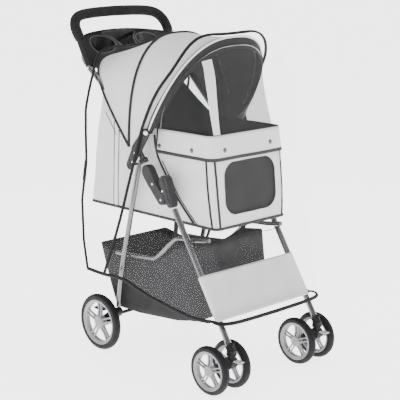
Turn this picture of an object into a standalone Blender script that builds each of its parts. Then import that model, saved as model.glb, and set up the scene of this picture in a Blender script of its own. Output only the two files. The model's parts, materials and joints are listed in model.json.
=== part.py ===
"""A four-wheel folding pet stroller: frame, casters, cabin, canopy, basket, tray and rain cover.

The stroller faces -Y and stands on z = 0. Its right side, seen by the person pushing, is -X.
Every rigid body has an empty on its joint, and the body's parts are parented to that empty.
"""

from math import atan2, copysign, cos, pi, radians, sin

import bmesh
import bpy
from mathutils import Matrix, Vector

# Widths: the distance of each plane of tubes from the middle of the stroller.
LEG_X = 0.1765
REAR_LEG_X = 0.160
RAIL_X = 0.145
CABIN_X = 0.137
BOW_X = 0.1645
MID_BOW_X = 0.1565
CANOPY_X = 0.1893
COVER_X = 0.206

# Tube radii.
LEG_R = 0.0085
REAR_LEG_R = 0.0075
RAIL_R = 0.0065
BOW_R = 0.003
BAR_R = 0.0095
GRIP_R = 0.0155
AXLE_R = 0.004

# Joints, as (y, z) in the side view.
FOLD = (-0.057, 0.500)
REAR_TOP = (0.062, 0.583)
RAIL_REAR = (0.130, 0.299)
RAIL_FRONT = (-0.152, 0.393)
CANOPY = (-0.004, 0.680)

# Wheels.
FRONT_R, FRONT_HALF = 0.0685, 0.0105
REAR_R, REAR_HALF = 0.0848, 0.0108
SWIVEL_Y = -0.322
FRONT_AXLE = (-0.282, FRONT_R)
REAR_AXLE = (0.212, REAR_R)
FRONT_WHEEL_OFFSET = 0.0412
REAR_WHEEL_X = 0.1893

WHEEL_SIDES = 28
HUB_R = {"front": 0.0145, "rear": 0.0180}

# Frame.
LEG_FOOT = (-0.3125, 0.139)
LEG_TOP = (-0.100, 0.479)
UPPER_FOOT, UPPER_BEND = (0.021, 0.5915), (0.046, 0.628)
BRACKET_BEND = (0.036, 0.628)
HANDLE_FOOT = (0.254, 0.838)
SOCKET_TOP, SOCKET_FOOT = 0.139, 0.112
FORK_HALF = 0.0135
HUB_TOP = (0.1655, 0.1200)
BRAKE_PIVOT = (0.224, 0.115)
TAB_PIVOT = (SWIVEL_Y - 0.0165, 0.100)
CROSS_TUBE = (-0.2637, 0.2170)
REAR_ROD = (0.180, 0.108)
PIN_R = 0.0035
GAP = 0.0003

# Tray, in its own tilted frame, and where that frame stands.
TRAY_PLACE, TRAY_TILT = (0.292, 0.893), radians(26)
TRAY_HALF, TRAY_FRONT, TRAY_BACK, TRAY_LOW, TRAY_TOP = 0.1650, -0.048, 0.040, -0.052, 0.008
CUP_X, CUP_R, BIN_HALF, TRAY_FLOOR = 0.105, 0.0365, 0.055, 0.006

# Soft goods.
CLOTH = 0.0025
CABIN_WALL = 0.006
ARCH_POWER, MID_BOW_POWER = 2.6, 3.6
FRONT_ARCH = ((-0.009, 0.6885), radians(30), 0.294)
MID_ARCH = ((0.036, 0.6520), radians(-8), 0.292)
REAR_ARCH = ((0.036, 0.6520), radians(-44), 0.285)
CANOPY_STEPS, ARCH_STEPS = 4, 22
CABIN_FRONT, CABIN_FLOOR, CABIN_RIM = -0.225, 0.437, 0.690
CABIN_OUTLINE = [(CABIN_FRONT, CABIN_FLOOR), (0.296, CABIN_FLOOR), (0.278, 0.560),
                 (0.250, 0.680), (0.236, 0.765), (0.2295, 0.788), (0.190, 0.765), (0.085, 0.695),
                 (0.060, CABIN_RIM), (-0.203, CABIN_RIM)]
CABIN_INSIDE = [(CABIN_FRONT + 0.007, CABIN_FLOOR + CABIN_WALL),
                (0.289, CABIN_FLOOR + CABIN_WALL), (0.2715, 0.560), (0.2435, 0.680),
                (0.2295, 0.770), (0.2200, 0.850), (-0.197, 0.850), (-0.197, CABIN_RIM)]
WINDOW_HALF, WINDOW_FOOT, WINDOW_TOP, WINDOW_CORNER = 0.095, 0.462, 0.598, 0.035
BOARD_HALF, BOARD_THICK, MAT_HALF, MAT_THICK = 0.130, 0.005, 0.128, 0.015
BASKET_WALL = 0.005
BASKET_OUTLINE = [(0.163, 0.126), (0.236, 0.320), (0.178, 0.2850), (0.030, 0.3000),
                  (-0.064, 0.3640), (-0.160, 0.3740), (-0.178, 0.2000), (-0.168, 0.176),
                  (-0.134, 0.160)]
BASKET_INSIDE = [(0.157, 0.132), (0.232, 0.335), (0.15, 0.42), (-0.154, 0.42),
                 (-0.172, 0.2015), (-0.163, 0.181), (-0.132, 0.1655)]
PANEL_LOW, PANEL_HIGH = 0.068, 0.198

# Each line of the cover: the hem's (y, z) beside the stroller, the crown's on its middle, and
# how square the line's shoulders are.
COVER_LINES = [((0.262, 0.245), (0.222, 0.905), 9), ((0.215, 0.245), (0.075, 0.968), 7),
               ((0.174, 0.248), (-0.150, 0.972), 5), ((0.090, 0.256), (-0.212, 0.870), 8),
               ((0.000, 0.240), (-0.240, 0.720), 9), ((-0.090, 0.212), (-0.272, 0.560), 9),
               ((-0.180, 0.196), (-0.305, 0.400), 8), ((-0.262, 0.190), (-0.335, 0.250), 7),
               ((-0.300, 0.188), (-0.345, 0.188), 6)]
COVER_THICK = 0.0015
FINE_STEPS = 400

COLOURS = {
    "steel": ((0.62, 0.62, 0.63), 0.3, 0.9),
    "plastic": ((0.045, 0.045, 0.05), 0.45, 0.0),
    "light_plastic": ((0.55, 0.55, 0.56), 0.4, 0.0),
    "foam": ((0.04, 0.04, 0.045), 0.9, 0.0),
    "tyre": ((0.03, 0.03, 0.032), 0.7, 0.0),
    "rim": ((0.55, 0.55, 0.56), 0.35, 0.2),
    "cloth_light": ((0.68, 0.68, 0.68), 0.9, 0.0),
    "cloth_dark": ((0.04, 0.04, 0.042), 0.9, 0.0),
    "mesh": ((0.06, 0.06, 0.06), 0.9, 0.0),
    "film": ((0.85, 0.87, 0.88), 0.15, 0.0),
}


def clear_scene():
    for thing in list(bpy.data.objects):
        bpy.data.objects.remove(thing)


def make_material(name):
    colour, roughness, metallic = COLOURS[name]
    material = bpy.data.materials.new(name)
    material.use_nodes = True
    shader = material.node_tree.nodes["Principled BSDF"]
    shader.inputs["Base Color"].default_value = (*colour, 1.0)
    shader.inputs["Roughness"].default_value = roughness
    shader.inputs["Metallic"].default_value = metallic
    return material


def body(name, pivot, parent=None):
    """An empty on a body's joint. Its location is counted from its parent's."""
    empty = bpy.data.objects.new(name, None)
    bpy.context.collection.objects.link(empty)
    empty["pivot"] = pivot
    start = Vector(parent["pivot"]) if parent else Vector()
    empty.location = Vector(pivot) - start
    empty.parent = parent
    return empty


def place(name, mesh, owner, material, centre=None):
    """Put a mesh made in world coordinates, or about a centre, on its body."""
    pivot = Vector(owner["pivot"])
    if centre is None:
        mesh.transform(Matrix.Translation(-pivot))
        centre = pivot
    thing = bpy.data.objects.new(name, mesh)
    bpy.context.collection.objects.link(thing)
    thing.parent = owner
    thing.location = Vector(centre) - pivot
    if not mesh.materials:
        mesh.materials.append(MATERIALS[material])
    return thing


def mesh_from(name, points, faces, sharp=radians(40)):
    mesh = bpy.data.meshes.new(name)
    mesh.from_pydata([tuple(p) for p in points], [], faces)
    work = bmesh.new()
    work.from_mesh(mesh)
    bmesh.ops.recalc_face_normals(work, faces=work.faces)
    work.to_mesh(mesh)
    work.free()
    mesh.shade_smooth()
    mesh.set_sharp_from_angle(angle=sharp)
    return mesh


def smooth_path(points, steps=5):
    """A Catmull-Rom curve through the points."""
    points = [Vector(p) for p in points]
    ends = [2 * points[0] - points[1]] + points + [2 * points[-1] - points[-2]]
    path = []
    for a, b, c, d in zip(ends, ends[1:], ends[2:], ends[3:]):
        for i in range(steps):
            t = i / steps
            path.append(0.5 * (2 * b + (c - a) * t + (2 * a - 5 * b + 4 * c - d) * t * t
                               + (3 * b - a - 3 * c + d) * t ** 3))
    path.append(points[-1])
    return path


def rings_along(path, radius, sides):
    """Circles across a path, each turned as little as possible from the one before it."""
    rings = []
    across = None
    for i, point in enumerate(path):
        ahead = (path[min(i + 1, len(path) - 1)] - path[max(i - 1, 0)]).normalized()
        if across is None:
            across = ahead.orthogonal().normalized()
        across = (across - ahead * across.dot(ahead)).normalized()
        up = ahead.cross(across)
        rings.append([point + radius * (cos(2 * pi * k / sides) * across
                                        + sin(2 * pi * k / sides) * up) for k in range(sides)])
    return rings


def skin(rings, closed_ends=True, loop=False):
    """Faces over rings of the same number of points, with the end rings filled."""
    sides = len(rings[0])
    points = [p for ring in rings for p in ring]
    faces = []
    for i in range(len(rings) if loop else len(rings) - 1):
        low, high = i * sides, (i + 1) % len(rings) * sides
        for k in range(sides):
            n = (k + 1) % sides
            faces.append((low + k, low + n, high + n, high + k))
    if closed_ends:
        faces.append(tuple(reversed(range(sides))))
        faces.append(tuple(range(len(points) - sides, len(points))))
    return points, faces


def tube_mesh(name, path, radius, sides=12, bore=None):
    """A solid rod along a path, or with a bore a sleeve that is open at both ends."""
    outer = rings_along(path, radius, sides)
    if bore is None:
        return mesh_from(name, *skin(outer))
    inner = rings_along(path, bore, sides)
    return mesh_from(name, *skin(outer + inner[::-1], closed_ends=False, loop=True))


def turned_mesh(name, profile, sides=WHEEL_SIDES):
    """A closed profile of (x, radius) points turned about the X axis."""
    rings = [[Vector((x, r * cos(a), r * sin(a))) for x, r in profile]
             for a in (2 * pi * k / sides for k in range(sides))]
    return mesh_from(name, *skin(rings, closed_ends=False, loop=True))


def turned_solid_mesh(name, profile, sides=18):
    """A profile of (x, radius) points turned about the X axis, with flat ends."""
    rings = [[Vector((x, r * cos(2 * pi * k / sides), r * sin(2 * pi * k / sides)))
              for k in range(sides)] for x, r in profile]
    return mesh_from(name, *skin(rings))


def plate_mesh(name, outline, low, high, bevel=0.0):
    """A (y, z) outline extruded from x = low to x = high, with its edges rounded."""
    rings = [[Vector((x, y, z)) for y, z in outline] for x in (low, high)]
    mesh = mesh_from(name, *skin(rings))
    if bevel:
        work = bmesh.new()
        work.from_mesh(mesh)
        edges = [e for e in work.edges if e.verts[0].co.x == e.verts[1].co.x]
        bmesh.ops.bevel(work, geom=edges, offset=bevel, segments=2, affect="EDGES", profile=0.6)
        work.to_mesh(mesh)
        work.free()
        mesh.shade_smooth()
        mesh.set_sharp_from_angle(angle=radians(50))
    return mesh


def arc(centre, radius, start, stop, steps):
    """Points of a circle in a side view, from one angle in degrees to another."""
    turns = (radians(start + (stop - start) * i / steps) for i in range(steps + 1))
    return [(centre[0] + radius * cos(t), centre[1] + radius * sin(t)) for t in turns]


def capsule(first, first_r, second, second_r, steps=8):
    """The outline of a belt round two circles of a side view."""
    heading = atan2(second[1] - first[1], second[0] - first[0]) * 180 / pi
    return (arc(second, second_r, heading - 90, heading + 90, steps)
            + arc(first, first_r, heading + 90, heading + 270, steps))


def box_mesh(name, low, high, bevel=0.002):
    work = bmesh.new()
    bmesh.ops.create_cube(work, size=1.0)
    middle, size = (Vector(low) + Vector(high)) / 2, Vector(high) - Vector(low)
    for v in work.verts:
        v.co = middle + Vector((v.co.x * size.x, v.co.y * size.y, v.co.z * size.z))
    if bevel:
        bmesh.ops.bevel(work, geom=list(work.edges), offset=bevel, segments=2, affect="EDGES",
                        profile=0.6)
    mesh = bpy.data.meshes.new(name)
    work.to_mesh(mesh)
    work.free()
    mesh.shade_smooth()
    mesh.set_sharp_from_angle(angle=radians(50))
    return mesh


def combine(name, base, others, operation="UNION"):
    """One mesh from several closed ones by Boolean, in the order given."""
    target = bpy.data.objects.new(name, base)
    bpy.context.collection.objects.link(target)
    helpers = []
    for other in others:
        helper = bpy.data.objects.new(name + "_tool", other)
        bpy.context.collection.objects.link(helper)
        helper.hide_render = True
        helper.display_type = "WIRE"
        modifier = target.modifiers.new("cut", "BOOLEAN")
        modifier.operation = operation
        modifier.object = helper
        helpers.append(helper)
    depsgraph = bpy.context.evaluated_depsgraph_get()
    mesh = bpy.data.meshes.new_from_object(target.evaluated_get(depsgraph))
    for used in [target] + helpers:
        bpy.data.objects.remove(used)
    mesh.shade_smooth()
    mesh.set_sharp_from_angle(angle=radians(40))
    return mesh


def mirrored(side, points):
    return [(side * x, y, z) for x, y, z in points]


def side_path(side, x, points, steps=5):
    """A smooth path through (y, z) points in one upright plane."""
    return smooth_path([(side * x, y, z) for y, z in points], steps)


def x_span(side, low, high):
    """A pair of x values on one side of the stroller, lower first."""
    return tuple(sorted((side * low, side * high)))


# Wheels


def tyre_mesh(name, radius, half, seat):
    """A solid tyre with a rounded tread, standing on its rim's seat."""
    crown = half * 0.55
    profile = [(-half, seat), (half, seat), (half, radius - crown)]
    profile += [(half * cos(t) ** 0.6, radius - crown + crown * sin(t))
                for t in (radians(22.5 * i) for i in range(1, 4))]
    profile.append((0.0, radius))
    profile += [(-x, r) for x, r in profile[-2:2:-1]]
    profile.append((-half, radius - crown))
    return turned_mesh(name, profile)


def rim_mesh(name, seat, half, hub_r):
    """A rim with five pairs of spokes. Its hub is capped on the outer side, at +X."""
    outer, inner = seat - GAP, seat - 0.0085
    ring = turned_mesh(name, [(-half, inner + 0.004), (-half, outer), (half, outer),
                              (half, inner + 0.004), (half - 0.003, inner),
                              (-half + 0.003, inner)])
    bore = AXLE_R + 0.0001
    hub = turned_solid_mesh(name, [(-half, hub_r), (half - 0.003, hub_r),
                                   (half, hub_r * 0.8), (half + 0.001, hub_r * 0.3)])
    hole = turned_solid_mesh(name, [(-half - 0.01, bore), (half - 0.006, bore)])
    hub = combine(name, hub, [hole], "DIFFERENCE")
    spokes = []
    for k in range(10):
        pair, edge = divmod(k, 2)
        turn = Matrix.Rotation(2 * pi * pair / 5 + radians(18), 4, "X")
        shift = (0.0055 if edge else -0.0055) * hub_r / 0.015
        spoke = box_mesh(name, (-half * 0.35, hub_r * 0.75, shift - 0.0028),
                         (half * 0.6, inner + 0.003, shift + 0.0028), 0.0)
        spoke.transform(turn)
        spokes.append(spoke)
    return combine(name, hub, spokes + [ring])


def make_wheels(owner_of, radius, half, prefix, places):
    seat = radius * 0.785
    tyre = tyre_mesh(prefix + "_tyre", radius, half, seat)
    rim = rim_mesh(prefix + "_rim", seat, half - 0.001, HUB_R[prefix])
    rim_flipped = rim.copy()
    rim_flipped.transform(Matrix.Rotation(pi, 4, "Z"))
    for name, centre, facing in places:
        owner = owner_of[name]
        place(f"{prefix}_tyre_{name}", tyre, owner, "tyre", centre)
        place(f"{prefix}_rim_{name}", rim if facing > 0 else rim_flipped, owner, "rim", centre)


# Frame


def make_front_frame(owner, side, label):
    leg = side_path(side, LEG_X, [LEG_FOOT, LEG_TOP], 2)
    place(f"front_leg_{label}", tube_mesh("leg", leg, LEG_R), owner, "steel")

    low, high = x_span(side, LEG_X - 0.0105, LEG_X + 0.0125)
    # In the side view the lobe lies along the leg, and the ear below it holds the fold pivot.
    lobe_outline = capsule((-0.0925, 0.4945), 0.0125, (-0.067, 0.5525), 0.0175)
    lobe = plate_mesh("lobe", lobe_outline, low, high, 0.003)
    ear_low, ear_high = x_span(side, LEG_X - 0.0100, LEG_X - 0.0005)
    ear = plate_mesh("ear", capsule(FOLD, 0.0165, (-0.085, 0.512), 0.010), ear_low, ear_high,
                     0.001)
    housing = combine("lock", lobe, [ear])
    place(f"lock_lower_{label}", housing, owner, "plastic")

    socket = side_cylinder(side * LEG_X, SWIVEL_Y, 0.0135, SOCKET_FOOT, SOCKET_TOP - 0.012)
    direction = (Vector((0, *LEG_TOP)) - Vector((0, *LEG_FOOT))).normalized()
    foot = Vector((side * LEG_X, *LEG_FOOT)) - direction * GAP
    collar = tube_mesh("collar", [foot - direction * 0.022, foot], LEG_R + 0.0035)
    place(f"caster_socket_{label}", combine("socket", socket, [collar]), owner, "plastic")


def side_cylinder(x, y, radius, low, high, sides=20):
    path = [Vector((x, y, low)), Vector((x, y, high))]
    return tube_mesh("cylinder", path, radius, sides)


def make_upper_frame(owner, side, label):
    foot, top = Vector(UPPER_FOOT), Vector(HANDLE_FOOT)
    points = [foot, UPPER_BEND, (0.092, 0.690), (0.160, 0.758), (0.210, 0.806), top]
    tube = side_path(side, LEG_X, points, 3)
    place(f"upper_tube_{label}", tube_mesh("upper", tube, LEG_R), owner, "steel")

    low, high = x_span(side, LEG_X - 0.0105, LEG_X + 0.0125)
    sleeve = plate_mesh("sleeve", capsule((-0.0200, 0.5390), 0.0165, (0.0030, 0.5710), 0.0190),
                        low, high, 0.003)
    ear_low, ear_high = x_span(side, LEG_X + 0.0005, LEG_X + 0.0120)
    ear = plate_mesh("ear", capsule(FOLD, 0.0150, (-0.020, 0.539), 0.0150), ear_low, ear_high,
                     0.001)
    place(f"lock_upper_{label}", combine("lock", sleeve, [ear]), owner, "plastic")

    plate_low, plate_high = x_span(side, LEG_X + LEG_R + 0.0065, LEG_X + LEG_R + 0.0125)
    arm = plate_mesh("arm", capsule(BRACKET_BEND, 0.0185, CANOPY, 0.0145), plate_low,
                     plate_high, 0.0015)
    lug = plate_mesh("lug", capsule(REAR_TOP, 0.0135, BRACKET_BEND, 0.0165), plate_low,
                     plate_high, 0.0015)
    pins = []
    for spot, reach in ((REAR_TOP, REAR_LEG_X + REAR_LEG_R + 0.0005), (CANOPY, BOW_X + 0.006)):
        pin = [Vector((side * reach, *spot)), Vector((side * (LEG_X + LEG_R + 0.009), *spot))]
        pins.append(tube_mesh("pin", pin, PIN_R, 10))
    place(f"bracket_{label}", combine("bracket", arm, [lug] + pins), owner, "plastic")


def make_rear_frame(owner, side, label):
    leg = side_path(side, REAR_LEG_X, [REAR_TOP, (0.113, 0.380), (0.142, 0.260),
                                       (0.1625, 0.1375)], 3)
    place(f"rear_leg_{label}", tube_mesh("rear_leg", leg, REAR_LEG_R), owner, "steel")

    low, high = x_span(side, REAR_LEG_X - 0.0085, REAR_WHEEL_X - REAR_HALF - 0.0015)
    shell = plate_mesh("housing", capsule(HUB_TOP, 0.0135, REAR_AXLE, 0.0150), low, high,
                       0.002)
    stub = [Vector((side * (REAR_LEG_X + 0.005), *REAR_AXLE)),
            Vector((side * (REAR_WHEEL_X + REAR_HALF - 0.0085), *REAR_AXLE))]
    axle = tube_mesh("stub", stub, AXLE_R, 16)
    place(f"rear_hub_{label}", combine("housing", shell, [axle]), owner, "plastic")


def make_brake_pedal(owner, side, label):
    low, high = x_span(side, REAR_LEG_X - 0.007, REAR_LEG_X + 0.012)
    pedal = plate_mesh("pedal", [(0.222, 0.1115), (0.232, 0.1085), (0.262, 0.1120),
                                 (0.263, 0.1160), (0.232, 0.1180), (0.223, 0.1185)], low, high,
                       0.001)
    place(f"brake_pedal_{label}", pedal, owner, "plastic")


def make_handle(owner):
    start = (LEG_X, HANDLE_FOOT[0] + 0.003, HANDLE_FOOT[1] + 0.0065)
    arm = [start, (LEG_X, 0.281, 0.886), (LEG_X, 0.303, 0.927),
           (0.174, 0.322, 0.957), (0.153, 0.337, 0.979), (0.105, 0.344, 0.988)]
    loop = mirrored(-1, arm) + [(0.0, 0.346, 0.991)] + arm[::-1]
    path = smooth_path(loop, 3)
    place("handle_bar", tube_mesh("bar", path, BAR_R, 10), owner, "plastic")
    covered = [p for p in path if p.z > 0.925]
    grip = tube_mesh("grip", covered, GRIP_R, 10, BAR_R + 0.0012)
    place("handle_grip", grip, owner, "foam")


def make_tray(owner):
    """A moulded tray with two cup wells and a bin, tilted down towards the front."""
    floor, above = TRAY_LOW + TRAY_FLOOR, TRAY_TOP + 0.04
    slab = box_mesh("tray", (-TRAY_HALF, TRAY_FRONT, TRAY_LOW), (TRAY_HALF, TRAY_BACK, TRAY_TOP),
                    0.008)
    cuts = [box_mesh("bin", (-BIN_HALF, TRAY_FRONT + 0.012, floor),
                     (BIN_HALF, TRAY_BACK - 0.010, above), 0.006)]
    for side in (-1, 1):
        cuts.append(side_cylinder(side * CUP_X, -0.002, CUP_R, floor, above, 28))
    tray = combine("tray", slab, cuts, "DIFFERENCE")
    tray.transform(Matrix.Translation((0, *TRAY_PLACE)) @ Matrix.Rotation(TRAY_TILT, 4, "X"))
    place("parent_tray", tray, owner, "plastic")


def make_rail(owner, side, label):
    points = [(0.183, 0.2965), RAIL_REAR, (0.045, 0.3060), (0.005, 0.3160), (-0.066, 0.3780),
              (-0.096, 0.3890), RAIL_FRONT, (-0.205, 0.4020)]
    rail = tube_mesh("rail", side_path(side, RAIL_X, points, 3), RAIL_R, 10)
    # The rivet's spacer runs out to the front leg, which it stops just short of.
    spacer = tube_mesh("spacer", [Vector((side * RAIL_X, *RAIL_FRONT)),
                                  Vector((side * (LEG_X - LEG_R - 2 * GAP), *RAIL_FRONT))], PIN_R,
                       10)
    place(f"side_rail_{label}", combine("rail", rail, [spacer]), owner, "steel")


def make_caster(owner, tab_owner, side, label):
    x = side * LEG_X
    body_mesh = plate_mesh("fork", capsule((SWIVEL_Y + 0.002, 0.0915), 0.0165, FRONT_AXLE, 0.0130),
                           x - FORK_HALF, x + FORK_HALF, 0.003)
    neck = side_cylinder(x, SWIVEL_Y, 0.0115, 0.095, SOCKET_FOOT - GAP)
    place(f"caster_fork_{label}", combine("fork", body_mesh, [neck]), owner, "plastic")
    reach = FRONT_WHEEL_OFFSET + FRONT_HALF - 0.0085
    for end, name in ((-1, "inner"), (1, "outer")):
        start = Vector((x + side * end * (FORK_HALF + GAP), *FRONT_AXLE))
        stop = Vector((x + side * end * reach, *FRONT_AXLE))
        place(f"axle_{name}_{label}", tube_mesh("axle", [start, stop], AXLE_R, 16), owner,
              "steel")
    tab = box_mesh("tab", (x - 0.009, SWIVEL_Y - 0.0394, 0.0985),
                   (x + 0.009, SWIVEL_Y - 0.0155, 0.1020), 0.001)
    place(f"swivel_lock_{label}", tab, tab_owner, "light_plastic")


def make_lock_slider(owner, side, label):
    """The ring on the upper tube that is lifted to free the fold."""
    direction = (Vector((0, *UPPER_BEND)) - Vector((0, *UPPER_FOOT))).normalized()
    start = Vector((side * LEG_X, *UPPER_FOOT)) + direction * 0.002
    ring = tube_mesh("ring", [start, start + direction * 0.011], LEG_R + 0.005, 20,
                     LEG_R + 0.0008)
    place(f"lock_slider_{label}", ring, owner, "plastic")


# Soft goods


def arch(spec, half_width, drop=0.0, power=ARCH_POWER, steps=ARCH_STEPS):
    """A bow's line: a superellipse in a leaning plane, from the right base to the left one."""
    (y, z), lean, height = spec
    line = []
    for i in range(steps + 1):
        t = pi * i / steps
        x = -copysign(abs(cos(t)) ** (2 / power), cos(t)) * half_width
        up = abs(sin(t)) ** (2 / power) * (height - drop)
        line.append(Vector((x, y - up * sin(lean), z + up * cos(lean))))
    return line


def between(first, second, t):
    return [a.lerp(b, t) for a, b in zip(first, second)]


def shell_mesh(name, outer, inner):
    """A closed sheet between two grids of lines that match point for point."""
    rings = [a + b[::-1] for a, b in zip(outer, inner)]
    return mesh_from(name, *skin(rings))


def canopy_section(name, first, second, start, stop, owner):
    outer_a, outer_b = arch(first, CANOPY_X), arch(second, CANOPY_X)
    inner_a = arch(first, CANOPY_X - CLOTH, CLOTH)
    inner_b = arch(second, CANOPY_X - CLOTH, CLOTH)
    spots = [start + (stop - start) * i / CANOPY_STEPS for i in range(CANOPY_STEPS + 1)]
    outer = [between(outer_a, outer_b, t) for t in spots]
    inner = [between(inner_a, inner_b, t) for t in spots]
    place(name, shell_mesh(name, outer, inner), owner, "cloth_light")


def make_bow(name, lean, height, half_width, power, owner):
    """A wire bow that stands on the canopy pivot, without the eyes at its two ends."""
    line = arch((CANOPY, lean, height), half_width, power=power, steps=24)[1:-1]
    place(name, tube_mesh(name, line, BOW_R, 8), owner, "steel")


def make_front_mesh(owner):
    """The netting between the front bow and the cabin's rim."""
    bow = arch(FRONT_ARCH, CANOPY_X - 2 * CLOTH, 2 * CLOTH)
    bow = [Vector((p.x, p.y - 0.004, p.z + 0.001)) for p in bow]
    inside = arch(FRONT_ARCH, CANOPY_X - 3 * CLOTH, 3 * CLOTH)
    inside = [Vector((p.x, p.y - 0.004, p.z + 0.001)) for p in inside]
    rims = []
    for inset in (0.0, CLOTH / 2):
        rim = []
        for i in range(ARCH_STEPS + 1):
            t = pi * i / ARCH_STEPS
            x = -copysign(abs(cos(t)) ** 0.25, cos(t)) * (CABIN_X - inset)
            y = -0.006 - abs(sin(t)) ** 0.5 * (0.196 - inset)
            rim.append(Vector((x, y, 0.6925)))
        rims.append(rim)
    outer = [between(bow, rims[0], t) for t in (0, 0.25, 0.5, 0.75, 1)]
    inner = [between(inside, rims[1], t) for t in (0, 0.25, 0.5, 0.75, 1)]
    place("front_mesh", shell_mesh("front_mesh", outer, inner), owner, "mesh")


def make_cabin(owner):
    outside = plate_mesh("cabin", CABIN_OUTLINE, -CABIN_X, CABIN_X)
    inside = plate_mesh("inside", CABIN_INSIDE, CABIN_WALL - CABIN_X, CABIN_X - CABIN_WALL)
    window = box_mesh("window", (-WINDOW_HALF, CABIN_FRONT - 0.05, WINDOW_FOOT),
                      (WINDOW_HALF, CABIN_FRONT + 0.05, WINDOW_TOP), 0.0)
    work = bmesh.new()
    work.from_mesh(window)
    corners = [e for e in work.edges if abs(e.verts[0].co.y - e.verts[1].co.y) > 0.05]
    bmesh.ops.bevel(work, geom=corners, offset=WINDOW_CORNER, segments=5, affect="EDGES",
                    profile=0.5)
    work.to_mesh(window)
    work.free()
    shell = combine("cabin", outside, [inside, window], "DIFFERENCE")
    place("cabin_shell", shell, owner, "cloth_light")

    low = CABIN_FLOOR + CABIN_WALL + GAP
    high = CABIN_FLOOR + CABIN_WALL + BOARD_THICK
    board = box_mesh("board", (-BOARD_HALF, CABIN_FRONT + 0.010, low), (BOARD_HALF, 0.2865, high),
                     0.0)
    place("floor_board", board, owner, "plastic")
    mat = box_mesh("mat", (-MAT_HALF, CABIN_FRONT + 0.017, high + GAP),
                   (MAT_HALF, 0.2780, high + MAT_THICK), 0.005)
    place("floor_mat", mat, owner, "cloth_dark")


def make_basket(owner):
    outside = plate_mesh("basket", BASKET_OUTLINE, -CABIN_X, CABIN_X)
    inside = plate_mesh("inside", BASKET_INSIDE, BASKET_WALL - CABIN_X, CABIN_X - BASKET_WALL)
    place("basket", combine("basket", outside, [inside], "DIFFERENCE"), owner, "cloth_dark")


def make_leg_panel(owner):
    along = (Vector((0, *LEG_TOP)) - Vector((0, *LEG_FOOT))).normalized()
    out = Vector((0, -along.z, along.y))
    foot, start = Vector((0, *LEG_FOOT)), LEG_R + 0.001
    corners = []
    for reach, rise in ((start, PANEL_LOW), (start, PANEL_HIGH), (start + CLOTH, PANEL_HIGH),
                        (start + CLOTH, PANEL_LOW)):
        corner = foot + along * rise + out * reach
        corners.append((corner.y, corner.z))
    panel = plate_mesh("panel", corners, -LEG_X - 0.006, LEG_X + 0.006)
    place("leg_panel", panel, owner, "cloth_light")


def evenly(points, steps):
    """The same line with its points at equal distances."""
    lengths = [0.0]
    for a, b in zip(points, points[1:]):
        lengths.append(lengths[-1] + (b - a).length)
    line, i = [], 0
    for k in range(steps + 1):
        reach = lengths[-1] * k / steps
        while i < len(points) - 2 and lengths[i + 1] < reach:
            i += 1
        t = (reach - lengths[i]) / (lengths[i + 1] - lengths[i])
        line.append(points[i].lerp(points[i + 1], t))
    return line


def cover_line(hem, crown, power):
    line = []
    for i in range(FINE_STEPS + 1):
        t = pi * i / FINE_STEPS
        x = -copysign(abs(cos(t)) ** (2 / power), cos(t)) * COVER_X
        up = abs(sin(t)) ** (2 / power)
        line.append(Vector((x, hem[0] + (crown[0] - hem[0]) * up,
                            hem[1] + (crown[1] - hem[1]) * up)))
    return evenly(line, ARCH_STEPS)


def make_rain_cover(owner):
    outer = [cover_line(hem, crown, power) for hem, crown, power in COVER_LINES]
    surface = bmesh.new()
    grid = [[surface.verts.new(p) for p in line] for line in outer]
    for a, b in zip(grid, grid[1:]):
        for p, q, r, s in zip(a, a[1:], b[1:], b):
            surface.faces.new((p, q, r, s))
    surface.faces.ensure_lookup_table()
    surface.normal_update()
    if surface.faces[0].normal.x > 0:
        bmesh.ops.reverse_faces(surface, faces=surface.faces)
        surface.normal_update()
    inner = [[v.co - v.normal * COVER_THICK for v in line] for line in grid]
    surface.free()
    place("rain_cover", shell_mesh("rain_cover", outer, inner), owner, "film")


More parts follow.
